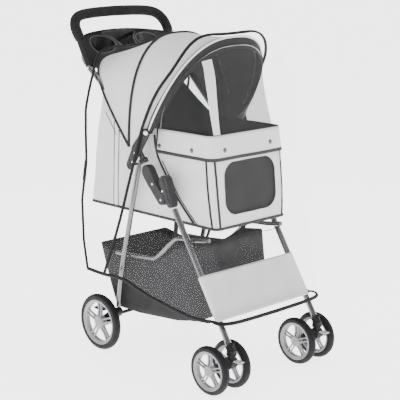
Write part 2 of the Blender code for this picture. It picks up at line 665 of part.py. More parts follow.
def main():
    clear_scene()
    MATERIALS.update({name: make_material(name) for name in COLOURS})
    rear = body("rear_frame_body", (0, 0, 0))
    upper = body("upper_frame_body", (0, *REAR_TOP), rear)
    front = body("front_frame_body", (0, *FOLD), upper)
    rails = body("rails_body", (0, *RAIL_REAR), rear)
    mid_bow = body("canopy_mid_body", (0, *CANOPY), upper)
    front_bow = body("canopy_front_body", (0, *CANOPY), mid_bow)

    make_handle(upper)
    make_tray(upper)
    cross = [Vector((x, *CROSS_TUBE)) for x in (-LEG_X + LEG_R + GAP, LEG_X - LEG_R - GAP)]
    place("front_cross_tube", tube_mesh("cross", cross, 0.006), front, "steel")
    reach = REAR_LEG_X - 0.0085 - GAP
    rod = [Vector((x, *REAR_ROD)) for x in (-reach, reach)]
    place("rear_cross_tube", tube_mesh("rod", rod, 0.005, 12), rear, "plastic")

    owners = {}
    front_places, rear_places = [], []
    for side, label in ((-1, "right"), (1, "left")):
        make_front_frame(front, side, label)
        make_upper_frame(upper, side, label)
        make_rear_frame(rear, side, label)
        make_rail(rails, side, label)
        pedal = body(f"brake_{label}_body", (side * REAR_LEG_X, *BRAKE_PIVOT), rear)
        make_brake_pedal(pedal, side, label)
        slider = body(f"lock_{label}_body", (side * LEG_X, *UPPER_FOOT), upper)
        make_lock_slider(slider, side, label)
        caster = body(f"caster_{label}_body", (side * LEG_X, SWIVEL_Y, SOCKET_FOOT), front)
        tab = body(f"tab_{label}_body", (side * LEG_X, *TAB_PIVOT), caster)
        make_caster(caster, tab, side, label)
        for end, place_name in ((-1, "inner"), (1, "outer")):
            name = f"{place_name}_{label}"
            centre = (side * (LEG_X + end * FRONT_WHEEL_OFFSET), *FRONT_AXLE)
            owners[name] = body(f"wheel_{name}_body", centre, caster)
            front_places.append((name, centre, side * end))
        centre = (side * REAR_WHEEL_X, *REAR_AXLE)
        owners[label] = body(f"wheel_{label}_body", centre, rear)
        rear_places.append((label, centre, side))
    make_wheels(owners, FRONT_R, FRONT_HALF, "front", front_places)
    make_wheels(owners, REAR_R, REAR_HALF, "rear", rear_places)

    make_bow("mid_bow", radians(-15), 0.252, MID_BOW_X, MID_BOW_POWER, mid_bow)
    make_bow("front_bow", radians(30), 0.291, BOW_X, ARCH_POWER, front_bow)
    canopy_section("canopy_rear", REAR_ARCH, MID_ARCH, 0.0, 0.995, mid_bow)
    canopy_section("canopy_front", MID_ARCH, FRONT_ARCH, 0.005, 1.0, front_bow)
    make_front_mesh(front_bow)
    make_cabin(rear)
    make_basket(rear)
    make_leg_panel(front)
    make_rain_cover(rear)


MATERIALS = {}
main()
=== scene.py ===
"""The looks of the pet stroller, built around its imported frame."""

import json
from math import cos, copysign, pi, radians, sin

import bmesh
import bpy
import numpy as np
from mathutils import Matrix, Vector, noise
from mathutils.bvhtree import BVHTree

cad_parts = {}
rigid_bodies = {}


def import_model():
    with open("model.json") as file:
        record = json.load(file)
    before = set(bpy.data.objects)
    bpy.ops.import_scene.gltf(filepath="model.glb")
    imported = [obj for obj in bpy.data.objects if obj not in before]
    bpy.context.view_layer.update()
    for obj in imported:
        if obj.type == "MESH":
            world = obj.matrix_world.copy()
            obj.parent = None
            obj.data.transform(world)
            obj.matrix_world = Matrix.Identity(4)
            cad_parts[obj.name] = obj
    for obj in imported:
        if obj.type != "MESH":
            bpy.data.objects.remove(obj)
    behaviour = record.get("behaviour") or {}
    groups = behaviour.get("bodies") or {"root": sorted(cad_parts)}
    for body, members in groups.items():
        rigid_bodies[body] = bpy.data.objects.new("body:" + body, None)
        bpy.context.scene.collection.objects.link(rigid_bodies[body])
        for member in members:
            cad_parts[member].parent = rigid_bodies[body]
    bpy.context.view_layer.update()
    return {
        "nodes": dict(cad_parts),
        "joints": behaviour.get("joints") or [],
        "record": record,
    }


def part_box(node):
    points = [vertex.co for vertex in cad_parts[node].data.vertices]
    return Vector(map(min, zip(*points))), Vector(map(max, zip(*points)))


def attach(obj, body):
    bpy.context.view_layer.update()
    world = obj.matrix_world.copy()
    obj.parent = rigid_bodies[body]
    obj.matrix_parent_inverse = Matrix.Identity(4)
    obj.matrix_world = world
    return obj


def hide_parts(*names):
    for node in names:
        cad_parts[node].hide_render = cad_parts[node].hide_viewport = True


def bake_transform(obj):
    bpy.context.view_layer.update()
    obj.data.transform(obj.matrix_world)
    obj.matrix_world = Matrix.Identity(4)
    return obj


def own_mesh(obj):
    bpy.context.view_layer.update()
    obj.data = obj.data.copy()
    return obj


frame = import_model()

NODES = frame["nodes"]
PIVOTS = {j["name"]: Vector(j.get("pos_m", (0, 0, 0))) for j in frame["joints"]}
SIDES = (("right", -1), ("left", 1))

# Widths: the distance of each layer from the stroller's middle.
LEG_X = PIVOTS["swivel_left"].x
CANOPY_X = 0.1893
CABIN_X = 0.1385
COVER_X = 0.2030

# Lines of the side view, as (y, z).
APEX = (0.070, 0.634)
REAR_ARCH = (APEX, (0.262, 0.874))
MID_ARCH = ((0.071, 0.634), (0.068, 0.942))
FRONT_ARCH = ((-0.006, 0.683), (-0.157, 0.944))
ARCH_POWER = 2.6
REAR_POWER, REAR_X = 4.2, 0.1920


# Meshes


def add_object(name, data):
    thing = bpy.data.objects.new(name, data)
    bpy.context.scene.collection.objects.link(thing)
    return thing


def mesh_object(name, points, faces, materials, sharp=radians(50), weld=0.0):
    mesh = bpy.data.meshes.new(name)
    mesh.from_pydata([tuple(p) for p in points], [], faces)
    work = bmesh.new()
    work.from_mesh(mesh)
    if weld:
        bmesh.ops.remove_doubles(work, verts=work.verts, dist=weld)
    bmesh.ops.recalc_face_normals(work, faces=work.faces)
    work.to_mesh(mesh)
    work.free()
    mesh.shade_smooth()
    mesh.set_sharp_from_angle(angle=sharp)
    thing = add_object(name, mesh)
    for material in materials if isinstance(materials, (list, tuple)) else [materials]:
        mesh.materials.append(material)
    return thing


def skin(rings, caps=True, loop=False, across=True):
    """Faces over rings of points. across closes each ring, loop joins the last ring to the first."""
    sides = len(rings[0])
    points = [p for ring in rings for p in ring]
    faces = []
    for i in range(len(rings) if loop else len(rings) - 1):
        low, high = i * sides, (i + 1) % len(rings) * sides
        for k in range(sides if across else sides - 1):
            n = (k + 1) % sides
            faces.append((low + k, low + n, high + n, high + k))
    if caps and across and not loop:
        faces.append(tuple(reversed(range(sides))))
        faces.append(tuple(range(len(points) - sides, len(points))))
    return points, faces


def add_modifier(thing, kind, **settings):
    modifier = thing.modifiers.new(kind.lower(), kind)
    for key, value in settings.items():
        setattr(modifier, key, value)
    return modifier


def apply_modifiers(thing):
    """Make a piece's evaluated mesh its own."""
    depsgraph = bpy.context.evaluated_depsgraph_get()
    mesh = bpy.data.meshes.new_from_object(thing.evaluated_get(depsgraph))
    thing.modifiers.clear()
    thing.data = mesh


def turns(count):
    """Equal angles round a full circle."""
    return [2 * pi * k / count for k in range(count)]


def smooth_line(points, count):
    """A Catmull-Rom curve through the points, as count + 1 points at equal distances."""
    points = [Vector(p) for p in points]
    ends = [2 * points[0] - points[1]] + points + [2 * points[-1] - points[-2]]
    fine = []
    for a, b, c, d in zip(ends, ends[1:], ends[2:], ends[3:]):
        for i in range(16):
            t = i / 16
            fine.append(0.5 * (2 * b + (c - a) * t + (2 * a - 5 * b + 4 * c - d) * t * t
                               + (3 * b - a - 3 * c + d) * t ** 3))
    fine.append(points[-1])
    return evenly(fine, count)


def evenly(points, count):
    """The same line as count + 1 points at equal distances."""
    points = [Vector(p) for p in points]
    reach = np.cumsum([0.0] + [(b - a).length for a, b in zip(points, points[1:])])
    spots = np.linspace(0, reach[-1], count + 1)
    axes = np.array(points)
    return [Vector(v) for v in zip(*(np.interp(spots, reach, axes[:, k])
                                     for k in range(len(points[0]))))]


def tube(name, path, radius, material, sides=12, squeeze=1.0, closed=False):
    """A round or flattened rod along a path. radius may be a function of the share of the path."""
    size = radius if callable(radius) else lambda share: radius
    path = [Vector(p) for p in path]
    count = len(path)
    rings, across = [], None
    for i, point in enumerate(path):
        before = path[i - 1] if i or closed else path[0]
        after = path[(i + 1) % count] if i < count - 1 or closed else path[-1]
        ahead = (after - before).normalized()
        if across is None:
            across = ahead.orthogonal().normalized()
        across = (across - ahead * across.dot(ahead)).normalized()
        up = ahead.cross(across)
        r = size(i / (count - 1))
        rings.append([point + r * (cos(a) * across + squeeze * sin(a) * up)
                      for a in turns(sides)])
    return mesh_object(name, *skin(rings, loop=closed), material)


def strip(name, feet, width, thick, material, sides=10, closed=False):
    """A flat tape or a cord through feet, each a place on a cloth and the way out from it."""
    size = width if callable(width) else lambda share: width
    count = len(feet)
    rings = []
    for i, (place, out) in enumerate(feet):
        before = feet[i - 1][0] if i or closed else place
        after = feet[(i + 1) % count][0] if i < count - 1 or closed else place
        ahead = (after - before).normalized()
        side = ahead.cross(out).normalized()
        up = side.cross(ahead)
        ring = []
        for k in range(sides):
            turn = 2 * pi * (k + 0.5) / sides
            across = copysign(abs(cos(turn)) ** 0.7, cos(turn)) * size(i / (count - 1)) / 2
            rise = copysign(abs(sin(turn)) ** 0.7, sin(turn)) * thick / 2
            ring.append(place + side * across + up * rise)
        rings.append(ring)
    return mesh_object(name, *skin(rings, loop=closed), material)


def cut(thing, rings):
    """Cut a solid, given as its rings, out of a closed piece."""
    tool = mesh_object("cutter", *skin(rings), [])
    add_modifier(thing, "BOOLEAN", operation="DIFFERENCE", object=tool, solver="EXACT")
    apply_modifiers(thing)
    bpy.data.objects.remove(tool)
    thing.data.set_sharp_from_angle(angle=radians(50))


def round_box(half_x, low, high, corner, steps=8):
    """A rounded rectangle of (x, z) points, symmetrical about x = 0."""
    points = []
    for x, z, start in ((half_x, low, -90), (half_x, high, 0), (-half_x, high, 90),
                        (-half_x, low, 180)):
        cx, cz = x - copysign(corner, x), z + corner if z == low else z - corner
        points += [(cx + corner * cos(radians(start + 90 * k / steps)),
                    cz + corner * sin(radians(start + 90 * k / steps))) for k in range(steps + 1)]
    return points


class Surface:
    """A grid of points over a soft piece. Places on it are shares (s, t) of its rows and columns."""

    def __init__(self, rows, outwards):
        self.grid = np.array([[tuple(p) for p in row] for row in rows])
        down = np.gradient(self.grid, axis=0)
        along = np.gradient(self.grid, axis=1)
        normals = np.cross(down, along)
        normals /= np.maximum(np.linalg.norm(normals, axis=2, keepdims=True), 1e-12)
        middle = tuple(n // 2 for n in normals.shape[:2])
        if normals[middle] @ np.array(outwards) < 0:
            normals = -normals
        self.normals = normals
        points, faces = skin([[Vector(p) for p in row] for row in self.grid], across=False)
        self.tree = BVHTree.FromPolygons(points, faces)

    def feet(self, route, count=80, lift=0.0, smooth=True):
        """A line through world points, laid on the surface: places and the way out from each."""
        line = smooth_line(route, count) if smooth else evenly(route, count)
        feet = []
        for point in line:
            place, _, index, _ = self.tree.find_nearest(point)
            i, j = divmod(index, self.grid.shape[1] - 1)
            out = Vector(self.normals[i, j] + self.normals[i + 1, j + 1]).normalized()
            feet.append((place + lift * out, out))
        return feet

    def _read(self, table, s, t):
        rows, columns = table.shape[:2]
        a = min(max(s, 0.0), 1.0) * (rows - 1)
        b = min(max(t, 0.0), 1.0) * (columns - 1)
        i, j = min(int(a), rows - 2), min(int(b), columns - 2)
        a, b = a - i, b - j
        return Vector((table[i, j] * (1 - a) + table[i + 1, j] * a) * (1 - b)
                      + (table[i, j + 1] * (1 - a) + table[i + 1, j + 1] * a) * b)

    def at(self, s, t, lift=0.0):
        return self._read(self.grid, s, t) + lift * self._read(self.normals, s, t).normalized()

    def line(self, places, count, lift=0.0):
        """An evenly spaced line on the surface through places (s, t)."""
        route = smooth_line([(s, t, 0) for s, t in places], 4 * count)
        return evenly([self.at(p.x, p.y, lift) for p in route], count)

    def piece(self, name, material, thick=0.0, lining=None, lift=0.0, weld=0.0):
        rows = self.grid + lift * self.normals
        thing = mesh_object(name, *skin([[Vector(p) for p in row] for row in rows], across=False),
                            [material] + ([lining] if lining else []), weld=weld)
        row, column = self.grid.shape[0] // 2, self.grid.shape[1] // 2
        centre = row * (self.grid.shape[1] - 1) + column
        facing = Vector(self.normals[row, column])
        if thing.data.polygons[centre].normal.dot(facing) < 0:
            thing.data.flip_normals()
        if thick:
            add_modifier(thing, "SOLIDIFY", thickness=thick, offset=-1,
                         material_offset=1 if lining else 0)
            apply_modifiers(thing)
        return thing


def own(thing, body, replaces=()):
    """Say which body a piece rides on and the nodes it stands for.

    A piece that is blended between two bodies is given None as its body.
    """
    if body:
        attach(thing, body)
    if replaces:
        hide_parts(*replaces)
    return thing


# Materials


class Look:
    """A Principled material, with short ways to add nodes to it."""

    def __init__(self, name, colour, roughness, metallic=0.0, **sockets):
        self.material = bpy.data.materials.new(name)
        self.material.use_nodes = True
        self.nodes = self.material.node_tree.nodes
        self.links = self.material.node_tree.links
        self.shader = self.nodes["Principled BSDF"]
        self.colour = (*colour, 1.0)
        self.set("Base Color", self.colour)
        self.set("Roughness", roughness)
        self.set("Metallic", metallic)
        for key, value in sockets.items():
            self.set(key.replace("_", " "), value)
        self.place = self.nodes.new("ShaderNodeTexCoord").outputs["Object"]
        self.bumps = None

    def set(self, socket, value):
        self.shader.inputs[socket].default_value = value

    def noise(self, scale, detail=3.0, stretch=(1, 1, 1)):
        node = self.nodes.new("ShaderNodeTexNoise")
        node.inputs["Scale"].default_value = scale
        node.inputs["Detail"].default_value = detail
        mapping = self.nodes.new("ShaderNodeMapping")
        mapping.inputs["Scale"].default_value = stretch
        self.links.new(self.place, mapping.inputs["Vector"])
        self.links.new(mapping.outputs["Vector"], node.inputs["Vector"])
        return node.outputs["Fac"]

    def wave(self, direction, scale):
        node = self.nodes.new("ShaderNodeTexWave")
        node.bands_direction = direction
        node.inputs["Scale"].default_value = scale
        node.inputs["Distortion"].default_value = 0.6
        node.inputs["Detail Scale"].default_value = 3.0
        self.links.new(self.place, node.inputs["Vector"])
        return node.outputs["Fac"]

    def cells(self, scale):
        node = self.nodes.new("ShaderNodeTexVoronoi")
        node.inputs["Scale"].default_value = scale
        self.links.new(self.place, node.inputs["Vector"])
        return node.outputs["Distance"]

    def maths(self, operation, a, b):
        node = self.nodes.new("ShaderNodeMath")
        node.operation = operation
        for socket, value in zip(node.inputs, (a, b)):
            if isinstance(value, (int, float)):
                socket.default_value = value
            else:
                self.links.new(value, socket)
        return node.outputs[0]

    def ramp(self, factor, low, high, start=0.3, stop=0.7):
        node = self.nodes.new("ShaderNodeValToRGB")
        node.color_ramp.elements[0].position = start
        node.color_ramp.elements[1].position = stop
        node.color_ramp.elements[0].color = low
        node.color_ramp.elements[1].color = high
        self.links.new(factor, node.inputs["Fac"])
        return node.outputs["Color"]

    def tint(self, factor, dark, light, start=0.3, stop=0.7):
        """Vary the colour between two multiples of itself."""
        low = tuple(c * dark for c in self.colour[:3]) + (1.0,)
        high = tuple(min(1.0, c * light) for c in self.colour[:3]) + (1.0,)
        self.links.new(self.ramp(factor, low, high, start, stop), self.shader.inputs["Base Color"])

    def rough(self, factor, low, high):
        grey = self.ramp(factor, (low,) * 3 + (1,), (high,) * 3 + (1,))
        self.links.new(grey, self.shader.inputs["Roughness"])

    def bump(self, height, strength, distance):
        node = self.nodes.new("ShaderNodeBump")
        node.inputs["Strength"].default_value = strength
        node.inputs["Distance"].default_value = distance
        self.links.new(height, node.inputs["Height"])
        if self.bumps:
            self.links.new(self.bumps, node.inputs["Normal"])
        self.bumps = node.outputs["Normal"]
        self.links.new(self.bumps, self.shader.inputs["Normal"])


def woven(name, colour, roughness=0.85, period=0.0011, sheen=0.25, soil=0.93):
    """Coated polyester: threads both ways, a soft sheen and slight soiling."""
    look = Look(name, colour, roughness, Sheen_Weight=sheen, Sheen_Roughness=0.4,
                Specular_IOR_Level=0.15)
    scale = 0.314 / period
    threads = look.maths("ADD", look.maths("ADD", look.wave("X", scale), look.wave("Y", scale)),
                         look.wave("Z", scale))
    look.bump(threads, 0.12, 0.0002)
    folds = look.noise(9.0, 4.0, (1, 1, 0.6))
    look.bump(folds, 0.35, 0.004)
    look.tint(look.noise(14.0, 5.0), soil, 1.03)
    look.rough(look.noise(60.0, 3.0), roughness - 0.08, min(1.0, roughness + 0.06))
    return look.material


def moulded(name, colour, roughness=0.42, grain=0.0006):
    """Moulded plastic with a fine grain and handling marks."""
    look = Look(name, colour, roughness, Specular_IOR_Level=0.18)
    look.bump(look.cells(1.0 / grain), 0.16, 0.00012)
    look.tint(look.noise(22.0, 5.0), 0.85, 1.25)
    look.rough(look.noise(35.0, 4.0), roughness - 0.09, roughness + 0.12)
    return look.material


def metal(name, colour, roughness=0.28, metallic=0.85):
    """Lacquered tube with faint drawing lines and scratches."""
    look = Look(name, colour, roughness, metallic, Coat_Weight=0.3, Coat_Roughness=0.15)
    look.bump(look.noise(260.0, 2.0, (1, 1, 0.05)), 0.02, 0.0001)
    look.tint(look.noise(30.0, 4.0), 0.9, 1.05)
    look.rough(look.noise(80.0, 5.0), roughness - 0.03, roughness + 0.06)
    return look.material


def rubber(name, colour, roughness=0.62, pores=900.0, strength=0.25):
    """Matt rubber or foam with fine pores."""
    look = Look(name, colour, roughness, Specular_IOR_Level=0.15)
    look.bump(look.cells(pores), strength, 0.0003)
    look.tint(look.noise(40.0, 5.0), 0.8, 1.35)
    look.rough(look.noise(50.0, 4.0), roughness - 0.1, roughness + 0.15)
    return look.material


def netting(name, colour, alpha):
    """Fine netting, or with alpha 1 a closed cloth. Its threads are bump."""
    look = Look(name, colour, 0.8, Alpha=alpha, Specular_IOR_Level=0.1)
    holes = look.maths("ADD", look.wave("X", 170.0), look.wave("Z", 170.0))
    look.bump(holes, 0.02, 0.0003)
    look.tint(look.noise(25.0, 3.0), 0.85, 1.2)
    return look.material


def clear_film(name, alpha, colour=(0.92, 0.93, 0.94)):
    """Soft clear film, with a faint haze and creases from its packing."""
    look = Look(name, colour, 0.12, Alpha=alpha, Specular_IOR_Level=0.6, Coat_Weight=0.4,
                Coat_Roughness=0.08)
    look.bump(look.noise(5.0, 5.0, (1, 1, 0.5)), 0.5, 0.006)
    look.rough(look.noise(18.0, 4.0), 0.08, 0.22)
    return look.material


# Each look's kind and what that kind is given.
LOOK_TABLE = {
    "steel": (metal, (0.135, 0.135, 0.14), 0.22, 0.95),
    "rivet": (metal, (0.75, 0.75, 0.76), 0.25),
    "plastic": (moulded, (0.011, 0.011, 0.012)),
    "tray_plastic": (moulded, (0.010, 0.010, 0.011), 0.34),
    # The tray lips' look: the tray's plastic made lighter, as a painted highlight along the edges.
    "tray_edge": (moulded, (0.07, 0.07, 0.072), 0.3),
    "light_plastic": (moulded, (0.45, 0.45, 0.46), 0.4),
    "foam": (rubber, (0.013, 0.013, 0.014), 0.78, 1400.0, 0.35),
    "tyre": (rubber, (0.009, 0.009, 0.010), 0.5, 700.0, 0.12),
    "rim": (moulded, (0.27, 0.27, 0.28), 0.33),
    "cloth_light": (woven, (0.70, 0.70, 0.70)),
    "cloth_panel": (woven, (0.72, 0.72, 0.72)),
    "cloth_dark": (woven, (0.012, 0.012, 0.013), 0.9, 0.0014, 0.05),
    "basket": (netting, (0.030, 0.030, 0.031), 1.0),
    "basket_trim": (woven, (0.007, 0.007, 0.008), 0.85, 0.0010, 0.05),
    "cover_trim": (woven, (0.008, 0.008, 0.009), 0.7, 0.0008, 0.05),
    "tape": (woven, (0.74, 0.74, 0.74), 0.5, 0.0006),
    "seam": (woven, (0.07, 0.07, 0.07), 0.8, 0.0006, 0.05),
    "cap": (moulded, (0.86, 0.86, 0.86), 0.3),
    "lining": (woven, (0.042, 0.042, 0.043), 0.9, 0.0011, 0.05),
    "piping": (woven, (0.014, 0.014, 0.015), 0.75, 0.0008, 0.05),
    "binding": (woven, (0.030, 0.030, 0.031), 0.8, 0.0008, 0.1),
    "thread": (woven, (0.75, 0.75, 0.75), 0.6, 0.0006),
    "mat": (woven, (0.09, 0.09, 0.09), 0.95, 0.002),
    "mesh": (netting, (0.025, 0.025, 0.025), 0.24),
    "window_mesh": (netting, (0.022, 0.022, 0.022), 0.93),
    "film": (clear_film, 0.010),
    # The next two looks are the same film, made hazier on the front face and low on the sides as a
    # painted reflection.
    "film_front": (clear_film, 0.035, (0.45, 0.45, 0.46)),
    "film_low": (clear_film, 0.05, (0.34, 0.34, 0.35)),
    # A painted highlight: a bright, nearly opaque film for the light reflected along the cover's
    # front fold.
    "film_crease": (clear_film, 0.72, (0.98, 0.98, 0.98)),
    "snap": (metal, (0.10, 0.10, 0.105), 0.3),
    "zip": (moulded, (0.55, 0.55, 0.56), 0.35),
}
LOOKS = {name: kind(name, *values) for name, (kind, *values) in LOOK_TABLE.items()}


# Frame


def dress_nodes():
    """Give every node the look that is named after its slot."""
    slots = {part["node"]: part["material_slot"] for part in frame["record"]["subparts"]}
    for name, node in NODES.items():
        node.data.materials.clear()
        node.data.materials.append(LOOKS["tray_plastic" if name == "parent_tray"
                                         else slots[name]])


# Wheels


SEAT_SHARE = 0.785      # of a wheel's radius: where the tyre sits on the rim
HUB_RADIUS = {"front": 0.0150, "rear": 0.0190}


def turned(name, profile, material, sides=96):
    """A closed profile of (x, radius) points turned about the X axis."""
    rings = [[Vector((x, r * cos(a), r * sin(a))) for x, r in profile] for a in turns(sides)]
    return mesh_object(name, *skin(rings, caps=False, loop=True), material, radians(35))


def tyre_profile(radius, half, seat):
    """A rounded tread with two grooves, and a step in each sidewall."""
    crown = half * 0.75
    tread = []
    for i in range(25):
        t = pi * i / 24
        x, r = half * cos(t), radius - crown + crown * sin(t) ** 0.8
        groove = 0.0009 * (abs(abs(x) - half * 0.42) < half * 0.09)
        tread.append((x, r - groove))
    step = radius - crown - 0.004
    return ([(-half + 0.0008, seat), (half - 0.0008, seat), (half - 0.0008, step - 0.001),
             (half, step)] + tread + [(-half, step), (-half + 0.0008, step - 0.001)])


def rim_parts(radius, half, hub_r, name):
    """The rim ring, five pairs of spokes and a capped hub, facing +X."""
    seat = radius * SEAT_SHARE
    lip, inner = seat + 0.0012, seat - 0.0075
    ring = [(half + 0.0004, lip), (half + 0.0006, lip - 0.0018), (half - 0.0012, lip - 0.0032),
            (half - 0.0030, inner), (-half + 0.003, inner), (-half, inner + 0.003),
            (-half, seat - 0.0003), (half - 0.0006, seat - 0.0003)]
    parts = [turned(name, ring, LOOKS["rim"])]
    cap = [(-half, 0.0), (-half, hub_r * 0.9), (half - 0.004, hub_r), (half - 0.0015, hub_r),
           (half, hub_r * 0.88), (half, hub_r * 0.62), (half - 0.0008, hub_r * 0.56),
           (half - 0.0008, hub_r * 0.36), (half + 0.0006, hub_r * 0.28), (half + 0.0006, 0.0)]
    rings = [[Vector((x, max(r, 1e-5) * cos(a), max(r, 1e-5) * sin(a))) for a in turns(48)]
             for x, r in cap]
    parts.append(mesh_object(name, *skin(rings), LOOKS["rim"], radians(35)))
    for k in range(5):
        turn = Matrix.Rotation(2 * pi * k / 5 + radians(18), 4, "X")
        for side in (-1, 1):
            parts.append(spoke(name, half, hub_r, inner, side, turn))
    for part in parts:
        part.select_set(True)
    with bpy.context.temp_override(active_object=parts[0], selected_editable_objects=parts,
                                   selected_objects=parts):
        bpy.ops.object.join()
    mesh = parts[0].data
    bpy.data.objects.remove(parts[0])
    return mesh


def spoke(name, half, hub_r, inner, side, turn):
    """One bar of a pair: it leaves the hub, dips inwards and widens at the rim."""
    rings = []
    scale = inner / 0.0463
    for share in (0.0, 0.15, 0.4, 0.7, 0.9, 1.0):
        y = hub_r * 0.85 + (inner + 0.002 - hub_r * 0.85) * share
        middle = side * (0.0040 + 0.0012 * share) * scale
        wide = (0.0019 + 0.0009 * abs(2 * share - 1) ** 3) * scale
        front = half * (0.72 - 0.42 * sin(pi * share * 0.9))
        back = -half * 0.30
        bevel = 0.0008
        rings.append([turn @ Vector((x, y, z)) for x, z in (
            (front, middle - wide + bevel), (front, middle + wide - bevel),
            (front - bevel, middle + wide), (back, middle + wide),
            (back, middle - wide), (front - bevel, middle - wide))])
    return mesh_object(name, *skin(rings), LOOKS["rim"], radians(35))


def make_wheels():
    wheels = []
    for label, side in SIDES:
        wheels.append(("front", "inner_" + label, -side))
        wheels.append(("front", "outer_" + label, side))
        wheels.append(("rear", label, side))
    meshes = {}
    for kind, label, facing in wheels:
        low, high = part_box(f"{kind}_tyre_{label}")
        centre = (low + high) / 2
        radius, half = (high.z - low.z) / 2, (high.x - low.x) / 2
        if kind not in meshes:
            tyre = turned(kind + "_tyre", tyre_profile(radius, half, radius * SEAT_SHARE),
                          LOOKS["tyre"])
            meshes[kind] = (tyre.data, rim_parts(radius, half - 0.001, HUB_RADIUS[kind],
                                                 kind + "_rim"))
            bpy.data.objects.remove(tyre)
        body = f"{kind}_wheel_{label}"
        for part, mesh in zip(("tyre", "rim"), meshes[kind]):
            mesh = mesh.copy()
            if part == "rim" and facing < 0:
                mesh.transform(Matrix.Rotation(pi, 4, "Z"))
            mesh.transform(Matrix.Translation(centre))
            thing = add_object(f"{kind}_{part}_detail_{label}", mesh)
            own(thing, body, [f"{kind}_{part}_{label}"])


# Handle


HANDLE_BENDS = [(LEG_X, 0.303, 0.927), (0.174, 0.322, 0.957), (0.153, 0.337, 0.979),
                (0.105, 0.344, 0.988)]


def make_handle():
    start = [(LEG_X, 0.257, 0.8445), (LEG_X, 0.281, 0.886)]
    arm = start + HANDLE_BENDS
    loop = [(-x, y, z) for x, y, z in arm] + [(0.0, 0.346, 0.991)] + arm[::-1]
    path = smooth_line(loop, 120)
    own(tube("handle_tube", path, 0.0103, LOOKS["plastic"], 24), "upper_frame",
        ["handle_bar"])
    covered = [p for p in path if p.z > 0.922]
    last = len(covered) - 1

    def thick(share):
        edge = min(share, 1 - share) * last
        return 0.0152 if edge > 1 else 0.0125 + 0.0027 * edge ** 0.5
    own(tube("foam_grip", covered, thick, LOOKS["foam"], 32), "upper_frame",
        ["handle_grip"])
    for label, end in (("right", 0), ("left", -1)):
        inner = covered[end]
        away = (covered[end] - covered[1 if end == 0 else -2]).normalized()
        collar = tube(f"grip_collar_{label}", [inner - away * 0.001, inner + away * 0.006], 0.0135,
                      LOOKS["plastic"], 32)
        add_modifier(collar, "BEVEL", width=0.0008, segments=2)
        own(collar, "upper_frame")


# Canopy


def half_round(flat, rise):
    """Half a superellipse, from right to left: shares (across, up) of its half width and height."""
    for i in range(401):
        t = pi * i / 400
        yield -copysign(abs(cos(t)) ** flat, cos(t)), abs(sin(t)) ** rise


def bow_line(arch, half, count, power=ARCH_POWER):
    """A bow from its right base over the top to its left base. arch is its base and its top."""
    (y0, z0), (y1, z1) = arch
    return evenly([(across * half, y0 + (y1 - y0) * up, z0 + (z1 - z0) * up)
                   for across, up in half_round(2 / power, 2 / power)], count)


def canopy_surface(first, second, sag, rows=14, count=72):
    """Cloth between two bows, with the slack that it shows between them."""
    rear = first == REAR_ARCH
    a = bow_line(first, REAR_X if rear else CANOPY_X, count, REAR_POWER if rear else ARCH_POWER)
    b = bow_line(second, CANOPY_X, count)
    grid = []
    for i in range(rows + 1):
        share = i / rows
        line = []
        for k, (p, q) in enumerate(zip(a, b)):
            across = k / count
            point = p.lerp(q, share)
            centre = Vector((0, point.y, 0.72))
            slack = sag * sin(pi * share) * (0.35 + 0.65 * sin(pi * across) ** 0.7)
            ripple = 0.0012 * noise.noise(Vector((point.x * 14, point.y * 14, point.z * 14)))
            line.append(point + (centre - point).normalized() * (slack + ripple * sin(pi * share)))
        grid.append(line)
    return Surface(grid, (0, 0, 1))


def piping_on(surface, name, places, radius, look, lift=0.0004, count=90, squeeze=1.0):
    return tube(name, surface.line(places, count, lift), radius, LOOKS[look], 10, squeeze)


def make_canopy():
    rear = canopy_surface(REAR_ARCH, MID_ARCH, 0.004)
    front = canopy_surface(MID_ARCH, FRONT_ARCH, 0.006)
    pieces = []
    cloth = rear.piece("canopy_rear_cloth", LOOKS["cloth_light"], 0.0014, LOOKS["lining"])
    pieces.append((own(cloth, None, ["canopy_rear"]), "rear"))
    for name, row, radius in (("canopy_rear_piping", 0.0, 0.0036),
                              ("canopy_mid_piping", 1.0, 0.0042)):
        pipe = piping_on(rear, name, [(row, 0.0), (row, 0.5), (row, 1.0)], radius, "piping",
                         0.0008)
        pieces.append((own(pipe, None), "rear"))

    cloth = front.piece("canopy_front_cloth", LOOKS["cloth_light"], 0.0014, LOOKS["lining"])
    pieces.append((own(cloth, None, ["canopy_front"]), "front"))
    trims = (("canopy_front_binding", 1.0, 0.0030, "cloth_light"),
             ("canopy_front_seam", 0.962, 0.0016, "piping"),
             ("canopy_front_stitch", 0.90, 0.0006, "thread"))
    for name, row, radius, look in trims:
        edge = piping_on(front, name, [(row, 0.0), (row, 0.5), (row, 1.0)], radius, look, 0.0006)
        pieces.append((own(edge, None), "front"))

    for piece, part in pieces:
        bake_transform(piece)
    return front


